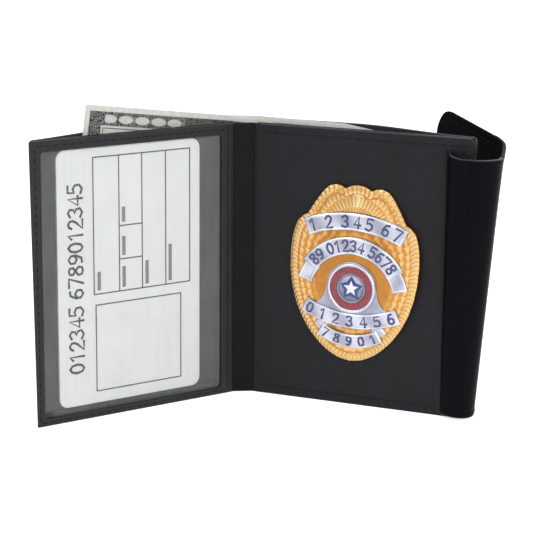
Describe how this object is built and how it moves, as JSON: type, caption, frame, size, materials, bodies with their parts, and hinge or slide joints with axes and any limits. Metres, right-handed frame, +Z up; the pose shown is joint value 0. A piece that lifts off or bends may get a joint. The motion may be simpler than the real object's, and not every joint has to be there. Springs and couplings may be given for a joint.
{
  "type": "id badge wallet",
  "caption": "Black leather badge wallet standing open, with an ID card behind a clear window, a gilt and silver shield badge pinned inside, notes in its pocket and a rolled closing cover.",
  "frame": {"origin": "on the badge leaf's lower edge, halfway along it and halfway through its face leather", "axes": "+Z up, +X along the badge leaf from the fold to its free end, +Y behind the wallet and -Y towards someone who looks at the badge"},
  "size_m": [0.1384, 0.1414, 0.1041],
  "materials": {
    "face_leather": "smooth pressed grain, low sheen",
    "shell_leather": "fine pebbled grain",
    "cover_leather": "fine grain, matt",
    "lining_leather": "thin split, matt",
    "stiffener_board": "grey-brown board",
    "clear_vinyl": "clear, glossy",
    "printed_card": "satin, black print",
    "note_paper": "matt, fine line print",
    "gilt_metal": "struck relief, gilt and polished",
    "silvered_metal": "polished, faintly brushed",
    "red_enamel": "glossy enamel",
    "blue_enamel": "glossy enamel",
    "white_enamel": "glossy enamel",
    "pin_steel": "plated wire and plate"
  },
  "bodies": {
    "badge_leaf": {"badge_face": "face_leather", "badge_stiffener": "stiffener_board", "badge_lining": "lining_leather", "shell_badge": "shell_leather", "pocket_foot_badge": "lining_leather", "pocket_end_badge": "lining_leather", "badge_plate": "gilt_metal", "badge_border": "gilt_metal", "badge_crest": "gilt_metal", "ribbon_top": "silvered_metal", "ribbon_arch": "silvered_metal", "ribbon_lower": "silvered_metal", "ribbon_foot": "silvered_metal", "seal_rim": "silvered_metal", "seal_ring": "red_enamel", "seal_band": "silvered_metal", "seal_field": "blue_enamel", "seal_star": "white_enamel", "pin_block": "pin_steel", "pin_stem": "pin_steel", "pin_catch": "pin_steel", "cover_hem": "cover_leather"},
    "spine": {"spine_face": "face_leather", "spine_lining": "lining_leather", "pocket_foot_spine": "lining_leather", "shell_spine": "shell_leather", "shell_fold_badge": "shell_leather", "shell_fold_id": "shell_leather", "banknote_front": "note_paper", "banknote_rear": "note_paper"},
    "id_leaf": {"id_frame": "face_leather", "id_window": "clear_vinyl", "card_slot_foot": "lining_leather", "card_slot_fold_side": "lining_leather", "card_slot_end_side": "lining_leather", "id_backing": "lining_leather", "shell_id": "shell_leather", "pocket_foot_id": "lining_leather", "pocket_end_id": "lining_leather"},
    "id_card": {"id_card": "printed_card"},
    "cover_strip_1": {"cover_strip_1": "cover_leather"},
    "cover_strip_2": {"cover_strip_2": "cover_leather"},
    "cover_strip_3": {"cover_strip_3": "cover_leather"},
    "cover_strip_4": {"cover_strip_4": "cover_leather"},
    "cover_strip_5": {"cover_strip_5": "cover_leather"},
    "cover_flap": {"cover_flap": "cover_leather", "cover_flap_facing": "cover_leather"}
  },
  "joints": [
    {"name": "spine_fold", "type": "hinge", "parent": "badge_leaf", "child": "spine", "pos_m": [-0.03825, -0.0006, 0.0471], "axis": [0, 0, -1], "range_deg": [-61.4, 28.6], "deforming": ["shell_fold_badge", "banknote_front", "banknote_rear"]},
    {"name": "id_fold", "type": "hinge", "parent": "spine", "child": "id_leaf", "pos_m": [-0.04457, -0.00405, 0.0471], "axis": [0, 0, -1], "range_deg": [-61.4, 28.6], "deforming": ["shell_fold_id"]},
    {"name": "card_slide", "type": "slide", "parent": "id_leaf", "child": "id_card", "axis": [0, 0, 1], "range_m": [0, 0.06]},
    {"name": "cover_fold_1", "type": "hinge", "parent": "badge_leaf", "child": "cover_strip_1", "pos_m": [0.03787, -0.00413, 0.04475], "axis": [0.0785, -0.0286, 0.9965], "range_deg": [-27, 2]},
    {"name": "cover_fold_2", "type": "hinge", "parent": "cover_strip_1", "child": "cover_strip_2", "pos_m": [0.04182, -0.00357, 0.04445], "axis": [0.0785, -0.0286, 0.9965], "range_deg": [-69, 2]},
    {"name": "cover_fold_3", "type": "hinge", "parent": "cover_strip_2", "child": "cover_strip_3", "pos_m": [0.04411, -0.00029, 0.04436], "axis": [0.0785, -0.0286, 0.9965], "range_deg": [-83, 2]},
    {"name": "cover_fold_4", "type": "hinge", "parent": "cover_strip_3", "child": "cover_strip_4", "pos_m": [0.04349, 0.00366, 0.04453], "axis": [0.0785, -0.0286, 0.9965], "range_deg": [-54, 2]},
    {"name": "cover_fold_5", "type": "hinge", "parent": "cover_strip_4", "child": "cover_strip_5", "pos_m": [0.04267, 0.00757, 0.0447], "axis": [0.0785, -0.0286, 0.9965], "range_deg": [-51, 2]},
    {"name": "cover_fold_6", "type": "hinge", "parent": "cover_strip_5", "child": "cover_flap", "pos_m": [0.0375, 0.02842, 0.04571], "axis": [0.0785, -0.0286, 0.9965], "range_deg": [-26, 12]}
  ],
  "couplings": [
    {"joint": "id_fold", "follows": "spine_fold", "ratio": 1}
  ]
}
